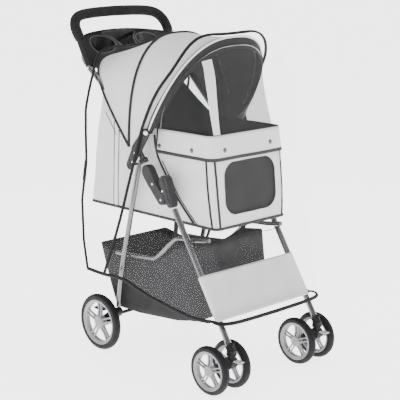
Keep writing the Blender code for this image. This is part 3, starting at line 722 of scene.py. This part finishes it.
def make_netting(canopy):
    """The netting from the front bow down to the cabin's rim, with its zip."""
    count = 72
    bow = [canopy.at(1.0, k / count, -0.0035) for k in range(count + 1)]
    rim = evenly([(across * (CABIN_X - 0.002), -0.006 - up * 0.1945, 0.6905)
                  for across, up in half_round(0.22, 0.35)], count)
    grid = []
    for i in range(17):
        share = i / 16
        line = []
        for k, (p, q) in enumerate(zip(bow, rim)):
            point = p.lerp(q, share)
            slack = 0.008 * sin(pi * share) * sin(pi * k / count)
            line.append(point + Vector((0, slack, 0)))
        grid.append(line)
    surface = Surface(grid, (0, -1, 0))
    net = surface.piece("front_netting", LOOKS["mesh"], 0.0006)
    own(net, "canopy_front", ["front_mesh"])
    soft = [net]
    feet = surface.feet([tuple(p) for p in surface.grid[1]], 90, 0.0005, smooth=False)
    border = strip("netting_border", feet, 0.030, 0.0012, LOOKS["piping"])
    soft.append(own(border, "canopy_front"))
    zipper = [(0.62, 0.03), (0.16, 0.12), (0.09, 0.3), (0.08, 0.5), (0.09, 0.7), (0.16, 0.88),
              (0.62, 0.97)]
    tape = piping_on(surface, "netting_zip_tape", zipper, 0.0048, "binding", 0.0006, squeeze=0.2)
    teeth = piping_on(surface, "netting_zip_teeth", zipper, 0.0011, "zip", 0.0018, squeeze=0.7)
    soft += [own(tape, "canopy_front"), own(teeth, "canopy_front")]
    for piece in soft:
        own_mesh(piece)


# Tray, locks and casters


def stud(name, place, out, radius, rise, material, stretch=1.0):
    """A low dome standing on a place, facing out of it."""
    out = Vector(out).normalized()
    across = Vector((0, 0, 1)).cross(out).normalized()
    up = out.cross(across)
    rings = []
    for height, size in [(-0.001, 1.0)] + [(rise * sin(pi / 2 * k / 6), cos(pi / 2 * k / 6))
                                           for k in range(7)]:
        r = max(radius * size, 1e-5)
        rings.append([Vector(place) + out * height + across * (stretch * r * cos(a))
                      + up * (r * sin(a)) for a in turns(20)])
    return mesh_object(name, *skin(rings), material)


TRAY_HALF = 0.167


def tray_edges(x):
    """The tray's front and back edge at x, as (y, z). It is steeper towards its ends."""
    share = min(1.0, abs(x) / TRAY_HALF)
    return ((0.2535 + 0.0085 * (1 - share ** 2), 0.838 + 0.042 * (1 - share ** 2)),
            (0.3010 + 0.0430 * (1 - share ** 4), 0.922 + 0.014 * (1 - share ** 2)))


def tray_top(x, y, lift=0.0):
    front, back = tray_edges(x)
    share = (y - front[0]) / (back[0] - front[0])
    return Vector((x, y, front[1] + (back[1] - front[1]) * share + lift))


def tray_ring(x):
    """A section of the tray: deep in the middle, and a web along the handle at its ends."""
    (fy, fz), (by, bz) = tray_edges(x)
    deep = min(1.0, max(0.0, (0.158 - abs(x)) / 0.024))
    deep = deep * deep * (3 - 2 * deep)
    low = [((by + 0.002, bz - 0.007),) * 2, ((by - 0.003, bz - 0.016), (0.341, 0.850)),
           ((by - 0.010, bz - 0.024), (0.333, 0.840)), ((fy + 0.012, fz - 0.002), (0.268, 0.832)),
           ((fy + 0.006, fz - 0.009), (0.259, 0.840)), ((fy - 0.001, fz - 0.006),) * 2]
    ring = [(fy, fz), ((fy + by) / 2, (fz + bz) / 2), (by, bz)]
    ring += [tuple(p + (q - p) * deep for p, q in zip(thin, full)) for thin, full in low]
    return [Vector((x, y, z)) for y, z in ring]


def make_tray():
    plastic = LOOKS["tray_plastic"]
    ends = np.linspace(-TRAY_HALF, TRAY_HALF, 81)
    tray = mesh_object("tray_body", *skin([tray_ring(float(x)) for x in ends]), plastic)
    cups = {label: [(side * 0.0895 + 0.0445 * cos(a), 0.2985 + 0.0285 * sin(a))
                    for a in turns(48)] for label, side in SIDES}
    half = [(0.027, 0.2775), (0.033, 0.296), (0.044, 0.316), (0.062, 0.3300), (0.056, 0.337)]
    bin_line = smooth_line([(x, y, 0) for x, y in
                            half + [(0.0, 0.3385)] + [(-x, y) for x, y in half[::-1]]
                            + [(0.0, 0.2745), half[0]]], 72)[:-1]
    wells = dict(cups, middle=[(p.x, p.y) for p in bin_line])
    for label, outline in wells.items():
        x0 = sum(p[0] for p in outline) / len(outline)
        y0 = sum(p[1] for p in outline) / len(outline)
        rings = [[Vector((x0 + (x - x0) * size, y0 + (y - y0) * size, z)) for x, y in outline]
                 for size, z in ((0.72, 0.8490), (0.80, 0.8510), (0.92, 0.885), (1.0, 0.985))]
        cut(tray, rings)
        # The lips are drawn lighter than the tray: a painted highlight on their edges.
        lip = tube(f"tray_lip_{label}", [tray_top(x, y, 0.0004) for x, y in outline], 0.0019,
                   LOOKS["tray_edge"], 10, closed=True)
        own(lip, "upper_frame")
    own(tray, "upper_frame", ["parent_tray"])
    edge = [Vector((x, *tray_edges(x)[0])) for x in ends]
    edge += [Vector((x, *tray_edges(x)[1])) for x in ends[::-1]]
    own(tube("tray_rim", edge, 0.0024, plastic, 12, closed=True), "upper_frame")


def make_locks():
    """The rivets of the fold locks and brackets, the canopy's caps and the locks' ribs."""
    lock_x, bracket_x = 0.1890, 0.1975
    rivets = [("lock_upper", "upper_frame", lock_x, (-0.023, 0.540)),
              ("lock_lower", "front_frame", lock_x, (-0.064, 0.526)),
              ("fold_pivot", "front_frame", lock_x, (-0.057, 0.500)),
              ("bracket_top", "upper_frame", bracket_x, (0.026, 0.642)),
              ("bracket_mid", "upper_frame", bracket_x, (0.039, 0.620)),
              ("bracket_low", "upper_frame", bracket_x, (0.050, 0.594))]
    for label, side in SIDES:
        for name, body, x, spot in rivets:
            head = stud(f"rivet_{name}_{label}", (side * x, *spot), (side, 0, 0), 0.0034, 0.0016,
                        LOOKS["rivet"])
            own(head, body)
        cap = stud(f"canopy_cap_{label}", (side * bracket_x, -0.0075, 0.6825), (side, 0, 0),
                   0.0062, 0.0042, LOOKS["cap"], 1.45)
        own(cap, "upper_frame")
        edge = [Vector((side * (lock_x + 0.0003), *spot)) for spot in
                ((-0.1010, 0.4930), (-0.0880, 0.5060), (-0.0790, 0.5330), (-0.0640, 0.5640))]
        rib = tube(f"lock_rib_{label}", smooth_line(edge, 16), 0.0014, LOOKS["plastic"], 8)
        own(rib, "front_frame")


def make_casters():
    """A cap on each caster's pivot and a rib round its socket."""
    for label, side in SIDES:
        x = side * LEG_X
        pivot = PIVOTS[f"swivel_{label}"]
        ring = [Vector((x + 0.0139 * cos(a), pivot.y + 0.0139 * sin(a), pivot.z + 0.004))
                for a in turns(40)]
        own(tube(f"socket_ring_{label}", ring, 0.0012, LOOKS["plastic"], 8, closed=True),
            "front_frame")
        cap = stud(f"socket_cap_{label}", (x, pivot.y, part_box(f"caster_socket_{label}")[1].z
                                           - 0.0005), (0, 0.01, 1), 0.0085, 0.0025,
                   LOOKS["plastic"])
        own(cap, "front_frame")


# Cabin


CABIN_LOW, CABIN_RIM = 0.4345, 0.688
CABIN_FRONT_LOW, CABIN_FRONT_TOP = -0.2265, -0.2040
BAND_LOW = 0.624
BAND_SHARE = 0.232
WINDOW = {"half_x": 0.099, "low": 0.468, "high": 0.611, "corner": 0.040}


def cabin_back(z):
    """The back wall's y at a height: it leans forwards as it rises."""
    heights = [0.437, 0.510, 0.592, 0.689, 0.755, 0.800]
    return float(np.interp(z, heights, [0.305, 0.292, 0.280, 0.2605, 0.250, 0.243]))


def cabin_top(y):
    """The height of the cabin's upper edge along its side."""
    return float(np.interp(y, [-0.25, 0.030, 0.085, 0.190, 0.240],
                           [CABIN_RIM, CABIN_RIM, 0.700, 0.764, 0.794]))


def rounded_loop(half, front, back, front_corner, count, back_corner):
    """A rounded rectangle seen from above, from the front's middle past the left side."""
    points = [(0.0, front, 0.0)]
    for x, y, start in ((half, front, -90), (half, back, 0), (-half, back, 90),
                        (-half, front, 180)):
        corner = front_corner if y == front else back_corner
        cx, cy = x - copysign(corner, x), y + corner if y == front else y - corner
        points += [(cx + corner * cos(radians(start + 15 * k)),
                    cy + corner * sin(radians(start + 15 * k)), 0.0) for k in range(7)]
    return evenly(points + [points[0]], count)


def ways_out(loop):
    """The level way out of a loop at each of its points."""
    count = len(loop) - 1
    ways = []
    for k in range(count + 1):
        ahead = loop[(k + 1) % count] - loop[(k - 1) % count]
        ways.append(Vector((ahead.y, -ahead.x, 0)).normalized())
    return ways


def cabin_surface():
    count, rows = 200, 26
    grid = []
    for i in range(rows + 1):
        share = i / rows
        level = CABIN_LOW + (CABIN_RIM - CABIN_LOW) * share
        front = CABIN_FRONT_LOW + (CABIN_FRONT_TOP - CABIN_FRONT_LOW) * share
        loop = rounded_loop(CABIN_X, front, cabin_back(level), 0.017, count, 0.010)
        line = []
        for point, out in zip(loop, ways_out(loop)):
            z = CABIN_LOW + (cabin_top(point.y) - CABIN_LOW) * share
            lean = min(1.0, max(0.0, (point.y - 0.1) / 0.1))
            place = Vector((point.x, point.y + lean * (cabin_back(z) - cabin_back(level)), z))
            slack = 0.0035 * sin(pi * share) ** 0.7
            ripple = 0.0018 * noise.noise(place * 10.0) + 0.0007 * noise.noise(place * 32.0)
            line.append(place + out * (slack + ripple * (0.25 + sin(pi * share))))
        line[-1] = line[0].copy()
        grid.append(line)
    return Surface(grid, (0, 1, 0))


def soft(thing, slot="cloth_dark", replaces=(), body="rear_frame"):
    return own(thing, body, replaces)


def trim(name, surface, route, width, look, thick=None, lift=0.0, count=80, smooth=True,
         body="rear_frame", closed=False):
    """A cord, or with another thickness a tape, sewn on a surface along a route."""
    feet = surface.feet(route, count, lift, smooth)
    if closed:
        feet = feet[:-1]
    thing = strip(name, feet, width, thick or width, LOOKS[look], closed=closed)
    return own(thing, body)


def make_cabin():
    others = set(bpy.data.objects)
    surface = cabin_surface()
    cloth = surface.piece("cabin_cloth", LOOKS["cloth_light"], 0.0016, LOOKS["lining"],
                          weld=1e-5)
    outline = round_box(WINDOW["half_x"], WINDOW["low"], WINDOW["high"], WINDOW["corner"])
    cut(cloth, [[Vector((x, y, z)) for x, z in outline] for y in (-0.26, -0.18)])
    soft(cloth, "cloth_light", ["cabin_shell"])

    net_rows = [[surface.feet([(x, -0.22, z), (x, -0.22, z + 0.0001)], 1, -0.0028)[0][0]
                 for x in np.linspace(-0.110, 0.110, 23)] for z in np.linspace(0.458, 0.620, 17)]
    net = Surface(net_rows, (0, -1, 0)).piece("cabin_window_net", LOOKS["window_mesh"], 0.0006)
    soft(net, "mesh")
    frame_line = [(x, -0.22, z) for x, z in outline + outline[:1]]
    trim("window_binding", surface, frame_line, 0.0042, "piping", 0.0022, 0.0004, 160,
         closed=True)

    base = [tuple(p) for p in surface.grid[0]]
    trim("cabin_base_piping", surface, base, 0.0078, "binding", 0.0060, 0.0006, count=240,
         smooth=False, closed=True)
    rim = [tuple(p) for p in surface.grid[-1]]
    trim("cabin_rim_piping", surface, rim, 0.0046, "binding", lift=0.0002, count=240,
         smooth=False, closed=True)
    floor = []
    for size in np.linspace(1.0, 0.02, 14):
        floor.append([Vector((p[0] * size, 0.035 + (p[1] - 0.035) * size,
                              p[2] - 0.0015 - 0.004 * (1 - size) ** 0.5))
                      for p in surface.grid[0]])
    bottom = Surface(floor, (0, 0, -1)).piece("cabin_bottom", LOOKS["cloth_dark"], 0.0012,
                                              weld=1e-5)
    soft(bottom)
    make_band(surface)
    for label, side in SIDES:
        make_cabin_seams(surface, label, side)
    for piece in bpy.data.objects:
        if piece not in others:
            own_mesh(piece)


def make_band(surface):
    """The flap round the top of the cabin's front, with its binding and four snaps."""
    low = (BAND_LOW - CABIN_LOW) / (CABIN_RIM - CABIN_LOW)
    grid = []
    for i in range(9):
        share = i / 8
        line = []
        for k in range(121):
            around = -BAND_SHARE + 2 * BAND_SHARE * k / 120
            wave = 0.0010 * sin(around * 60) * share
            line.append(surface.at(1.002 - (1.002 - low) * share, around % 1.0,
                                   0.0030 + 0.0022 * share + wave))
        grid.append(line)
    band = Surface(grid, (0, -1, 0))
    soft(band.piece("cabin_band", LOOKS["cloth_light"], 0.0014), "cloth_light")
    trim("band_binding", band, [tuple(p) for p in band.grid[-1]], 0.0094, "binding", 0.0036,
         0.0003, 120, smooth=False)
    for name, column in (("band_end_right", 0), ("band_end_left", -1)):
        trim(name, band, [tuple(p) for p in band.grid[:, column]], 0.0060, "binding", 0.0034,
             0.0003, 10, smooth=False)
    snaps = (("side_right", (-0.145, -0.006, 0.640)), ("near_right", (-0.145, -0.136, 0.643)),
             ("right", (-0.096, -0.215, 0.648)), ("left", (0.085, -0.215, 0.650)),
             ("near_left", (0.145, -0.136, 0.643)), ("side_left", (0.145, -0.006, 0.640)))
    for name, spot in snaps:
        (place, out), _ = band.feet([spot, Vector(spot) + Vector((0, 0, 0.0001))], 1, 0.0002)
        soft(stud(f"snap_{name}", place, out, 0.0068, 0.0026, LOOKS["snap"]), "steel")


def make_cabin_seams(surface, label, side):
    """One side's piping: round the front corner, down the front edge and up the back."""
    x = side * 0.145
    corner = (("outer", [(x, -0.188, 0.622), (x, -0.200, 0.520), (x, -0.2115, 0.4365)]),
              ("inner", [(side * 0.1305, -0.21, 0.622), (side * 0.1285, -0.22, 0.520),
                         (side * 0.1245, -0.23, 0.4365)]))
    for name, route in corner:
        trim(f"corner_piping_{name}_{label}", surface, route, 0.0062, "piping", 0.0040, 0.0006,
             count=24)
    front = [(x, 0.018, 0.668), (x, 0.012, 0.632), (x, -0.004, 0.598), (x, -0.071, 0.507),
             (x, -0.140, 0.4365)]
    trim(f"front_edge_piping_{label}", surface, front, 0.0064, "piping", 0.0050, 0.0012, 60)
    inner = [(x, y - 0.0105, z) for _, y, z in front[2:]]
    trim(f"front_edge_seam_{label}", surface, inner, 0.0034, "piping", 0.0022, 0.0004, 50)
    tape = [(x, 0.1775, 0.700), (x, 0.1800, 0.640), (x, 0.1850, 0.560), (x, 0.1905, 0.4365)]
    trim(f"reflective_tape_{label}", surface, tape, 0.0180, "tape", 0.0007, 0.0003, 40)
    for name, shift in (("front", -0.0098), ("back", 0.0098)):
        route = [(x, y + shift, z) for _, y, z in tape]
        trim(f"tape_seam_{name}_{label}", surface, route, 0.0034, "seam", 0.0018, 0.0005, 40)
    # A thin dark line across the upper back of the side.
    route = [(x, 0.2288, 0.7114), (x, 0.2050, 0.6810), (x, 0.1790, 0.6480)]
    trim(f"gusset_seam_{label}", surface, route, 0.0026, "seam", 0.0014, 0.0004, 16)


def make_mat():
    """The pad on the floor: a slightly small block, blown up as cloth and held within its cap."""
    low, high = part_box("floor_mat")
    inset = Vector((0.004, 0.004, 0.002))
    low, high = low + inset, high - inset
    block = [[Vector((x, y, z)) for x, y in ((low.x, low.y), (high.x, low.y), (high.x, high.y),
                                             (low.x, high.y))] for z in (low.z, high.z)]
    mat = mesh_object("floor_pad", *skin(block), LOOKS["mat"])
    add_modifier(mat, "REMESH", mode="VOXEL", voxel_size=0.005)
    apply_modifiers(mat)
    rest = [v.co.copy() for v in mat.data.vertices]
    cloth = add_modifier(mat, "CLOTH")
    cloth.settings.use_pressure = True
    cloth.settings.uniform_pressure_force = 4.0
    cloth.settings.effector_weights.gravity = 0.0
    for step in range(1, 21):
        bpy.context.scene.frame_set(step)
    apply_modifiers(mat)
    bpy.context.scene.frame_set(1)
    for vertex, start in zip(mat.data.vertices, rest):
        move = vertex.co - start
        if start.z < low.z + 0.001:
            move = Vector((0, 0, 0))
        vertex.co = start + move.normalized() * min(move.length, 0.005)
    mat.data.shade_smooth()
    mat.data.materials.clear()
    mat.data.materials.append(LOOKS["mat"])
    soft(mat, "cloth_dark", ["floor_mat"])


# Basket and leg panel


def basket_top(y):
    """The height of the basket's upper edge: it dips between its straps and its back."""
    return float(np.interp(y, [-0.150, -0.064, 0.030, 0.178, 0.272],
                           [0.374, 0.362, 0.301, 0.287, 0.304]))


def basket_low(y):
    """The height of the basket's floor."""
    return float(np.interp(y, [-0.172, -0.101, -0.061, 0.100, 0.207],
                           [0.168, 0.148, 0.140, 0.126, 0.126]))


def basket_surface():
    count = 180
    top = rounded_loop(0.1335, -0.150, 0.2720, 0.014, count, 0.008)
    low = rounded_loop(0.1330, -0.170, 0.2050, 0.012, count, 0.014)
    grid = []
    for i in range(19):
        share = i / 18
        fall = share ** 0.9
        tuck = max(0.0, (share - 0.92) / 0.08) ** 2
        line = []
        for p, q, out in zip(top, low, ways_out(top)):
            start = Vector((p.x, p.y, basket_top(p.y)))
            stop = Vector((q.x, q.y, basket_low(q.y)))
            place = start.lerp(stop, fall)
            belly = 0.0042 * sin(pi * share) ** 0.8 * (0.35 + 0.65 * share)
            ripple = 0.0022 * noise.noise(Vector((place.x * 9, place.y * 13, place.z * 7)))
            line.append(place + out * (belly + ripple * sin(pi * share) - 0.0025 * tuck))
        line[-1] = line[0].copy()
        grid.append(line)
    for size in np.linspace(0.94, 0.03, 12):
        line = []
        for p in grid[18]:
            x, y = p.x * size, -0.002 + (p.y + 0.002) * size
            sag = 0.0045 * (1 - size) ** 0.6 + 0.001 * noise.noise(Vector((x * 20, y * 20, 0)))
            line.append(Vector((x, y, basket_low(y) - sag)))
        line[-1] = line[0].copy()
        grid.append(line)
    return Surface(grid, (0, -1, 0))


def make_basket():
    surface = basket_surface()
    cloth = surface.piece("basket_cloth", LOOKS["basket"], 0.0015, weld=1e-5)
    pieces = [soft(cloth, replaces=["basket"])]
    pieces.append(trim("basket_binding", surface, [tuple(p) for p in surface.grid[0]], 0.0110,
                       "basket_trim", 0.0030, 0.0002, 240, smooth=False, closed=True))
    for label, side in SIDES:
        strap = [(side * 0.1375, -0.062, 0.352), (side * 0.1385, -0.064, 0.392),
                 (side * 0.1375, -0.066, 0.432)]
        feet = [(p, Vector((side, 0, 0))) for p in smooth_line(strap, 12)]
        pieces.append(soft(strip(f"basket_strap_{label}", feet, 0.018, 0.0018,
                                 LOOKS["basket_trim"])))
        cord = smooth_line([(side * 0.132, -0.148, 0.372), (side * 0.138, -0.176, 0.381),
                            (side * 0.144, -0.203, 0.396)], 10)
        pieces.append(soft(tube(f"basket_tie_{label}", cord, 0.0011, LOOKS["basket_trim"], 8)))
        seam = [(side * 0.14, -0.151, 0.366), (side * 0.14, -0.161, 0.280),
                (side * 0.135, -0.171, 0.190)]
        pieces.append(trim(f"basket_corner_seam_{label}", surface, seam, 0.0030, "basket_trim",
                           lift=0.0004, count=24))
    for piece in pieces:
        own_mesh(piece)


def make_leg_panel():
    """The panel between the front legs, with a sleeve round each of them."""
    foot, top = Vector((0, -0.3125, 0.139)), Vector((0, -0.100, 0.479))
    along = (top - foot).normalized()
    out = Vector((0, -along.z, along.y))
    wrap = 0.0108
    around = [(-LEG_X + wrap * cos(a), wrap * sin(a))
              for a in (radians(285 - 195 * k / 20) for k in range(21))]
    outline = around + [(-LEG_X + 2 * LEG_X * k / 40, wrap) for k in range(1, 40)]
    outline += [(-x, o) for x, o in around[::-1]]
    grid = []
    for i in range(19):
        share = i / 18
        line = []
        for x, o in outline:
            middle = max(0.0, 1 - (x / (LEG_X - 0.008)) ** 2)
            slack = 0.0020 * middle * (0.6 + 0.4 * sin(pi * share))
            ripple = 0.0010 * noise.noise(Vector((x * 9, share * 3, 2.0))) * min(1, middle * 3)
            place = foot + along * (0.0665 + 0.132 * share) + out * (o - slack + ripple)
            line.append(Vector((x, place.y, place.z)))
        grid.append(line)
    surface = Surface(grid, tuple(out))
    panel = surface.piece("leg_panel_cloth", LOOKS["cloth_panel"], 0.0013)
    own(panel, "front_frame", ["leg_panel"])
    pieces = [panel]
    for name, row in (("low", 0.045), ("high", 0.955)):
        pieces.append(own(tube(f"panel_stitch_{name}",
                               surface.line([(row, 0.03), (row, 0.5), (row, 0.97)], 80, 0.0002),
                               0.0005, LOOKS["thread"], 6), "front_frame"))
    for piece in pieces:
        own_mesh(piece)


# Rain cover


# Each line of the cover: its hem beside the stroller and its crown, as (y, z), and how square
# its shoulders are.
COVER_LINES = [((0.253, 0.244), (0.222, 0.900), 9), ((0.215, 0.243), (0.075, 0.957), 7),
               ((0.174, 0.242), (-0.148, 0.952), 5.4), ((0.088, 0.243), (-0.212, 0.870), 8),
               ((-0.023, 0.217), (-0.240, 0.720), 9), ((-0.105, 0.204), (-0.268, 0.560), 9),
               ((-0.186, 0.195), (-0.296, 0.400), 8), ((-0.246, 0.197), (-0.315, 0.270), 6),
               ((-0.278, 0.202), (-0.325, 0.199), 3.6)]
# The film is painted hazier on the front face and low on the sides, a painted reflection of the
# studio light: where these begin.
FACE_Y, FACE_X = -0.15, 0.178
LOW_Z, LOW_X = 0.41, 0.19
# The rear edge waves where the cover hangs free: its y at each height.
COVER_REAR = ((0.244, 0.328, 0.449, 0.573, 0.720, 0.833, 0.905),
              (0.253, 0.269, 0.272, 0.247, 0.247, 0.220, 0.222))


def cover_surface():
    count, rows = 96, 56
    lines = [bow_line((hem, crown), COVER_X, count, power) for hem, crown, power in COVER_LINES]
    for point in lines[0]:
        point.y = float(np.interp(point.z, *COVER_REAR))
    columns = [smooth_line([line[k] for line in lines], rows) for k in range(count + 1)]
    flat = Surface([[columns[k][i] for k in range(count + 1)] for i in range(rows + 1)],
                   (0, -0.3, 1))
    grid = []
    for i in range(rows + 1):
        line = []
        for k in range(count + 1):
            place, out = Vector(flat.grid[i, k]), Vector(flat.normals[i, k])
            fold = noise.noise(Vector((place.x * 12, place.y * 12, place.z * 3.0)))
            crumple = noise.noise(place * 26.0)
            line.append(place + out * (0.0022 * fold + 0.0008 * crumple - 0.0012))
        grid.append(line)
    return Surface(grid, (0, -0.3, 1))


def make_cover():
    surface = cover_surface()
    film = surface.piece("cover_film", LOOKS["film"])
    # The front face and the low sides take the hazier looks: painted reflection on the film.
    for look in ("film_front", "film_low"):
        film.data.materials.append(LOOKS[look])
    for face in film.data.polygons:
        x, y, z = face.center
        face.material_index = (1 if y < FACE_Y and abs(x) < FACE_X
                               else 2 if z < LOW_Z and abs(x) > LOW_X else 0)
    pieces = [own(film, None, ["rain_cover"])]
    seam = [(-COVER_X, 0.174, 0.246), (-COVER_X, 0.094, 0.434), (-COVER_X, 0.026, 0.631),
            (-COVER_X, 0.0, 0.704), (-0.197, -0.046, 0.794), (-0.185, -0.100, 0.865),
            (-0.160, -0.124, 0.908), (-0.092, -0.138, 0.942)]
    seam += [(0.0, -0.146, 0.952)] + [(-x, y, z) for x, y, z in seam[::-1]]
    rear = [tuple(p) for p in surface.grid[0]]
    hem = [tuple(p) for p in surface.grid[:, 0]] + [tuple(p) for p in surface.grid[-1, 1:]]
    hem += [tuple(p) for p in surface.grid[-2::-1, -1]]
    tab = [(-COVER_X, 0.262, 0.572), (-COVER_X, 0.264, 0.512)]
    for name, route, width, thick, lift, count, smooth in (
            ("arch_piping", seam, 0.0094, 0.0064, 0.0010, 200, True),
            ("rear_piping", rear, 0.0084, 0.0058, 0.0006, 200, False),
            ("hem", hem, 0.0105, 0.0056, 0.0006, 300, False),
            ("rear_tab", tab, 0.0140, 0.0030, 0.0012, 6, False)):
        pieces.append(trim("cover_" + name, surface, route, width, "cover_trim", thick, lift,
                           count, smooth, body=None))
    # A bright strip down the fold of the front face: a painted highlight for the light the film
    # reflects there.
    edges = ([(-0.1615, -0.193, 0.895), (-0.170, -0.222, 0.818), (-0.1641, -0.241, 0.700)],
             [(-0.1298, -0.193, 0.893), (-0.139, -0.222, 0.818), (-0.1421, -0.241, 0.698)])
    left, right = [[place for place, _ in surface.feet(edge, 40, 0.0008)] for edge in edges]
    rows = [left, [(p + q) / 2 for p, q in zip(left, right)], right]
    crease_highlight = Surface(rows, (0, -1, 0)).piece("cover_crease", LOOKS["film_crease"])
    pieces.append(own(crease_highlight, None))
    for piece in pieces:
        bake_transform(piece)


# Stage


def aimed(name, data, place, target):
    """Add a camera or lamp at a place, turned to a target."""
    thing = add_object(name, data)
    thing.location = place
    thing.rotation_mode = "QUATERNION"
    thing.rotation_quaternion = (Vector(target) - thing.location).to_track_quat("-Z", "Y")
    return thing


def light_and_camera():
    camera = bpy.data.cameras.new("camera")
    camera.lens, camera.sensor_width = 109.74, 36.0
    bpy.context.scene.camera = aimed("camera", camera, (-2.40894, -2.48853, 1.23302),
                                     (0.0, -0.02, 0.4646))

    world = bpy.data.worlds.new("studio")
    world.use_nodes = True
    world.node_tree.nodes["Background"].inputs["Color"].default_value = (1, 1, 1, 1)
    world.node_tree.nodes["Background"].inputs["Strength"].default_value = 0.75
    bpy.context.scene.world = world
    lamps = (("key", (-2.2, -1.6, 2.6), 1.8, 42), ("fill", (2.4, -2.2, 1.6), 2.2, 22),
             ("top", (0.2, 0.6, 3.0), 2.4, 32))
    for name, place, size, power in lamps:
        lamp = bpy.data.lights.new(name, "AREA")
        lamp.size, lamp.energy = size, power
        aimed(name, lamp, place, (0, 0, 0.5))

    look = Look("floor", (0.93, 0.93, 0.93), 0.6, Emission_Color=(1, 1, 1, 1),
                Emission_Strength=3.2)
    look.tint(look.noise(1.5, 2.0), 0.99, 1.01)
    floor = mesh_object("floor", [(-40, -40, 0), (40, -40, 0), (40, 40, 0), (-40, 40, 0)],
                        [(0, 1, 2, 3)], look.material)


def main():
    light_and_camera()
    dress_nodes()
    make_wheels()
    make_handle()
    make_tray()
    make_locks()
    make_casters()
    front = make_canopy()
    make_netting(front)
    make_cabin()
    make_mat()
    make_basket()
    make_leg_panel()
    make_cover()


main()
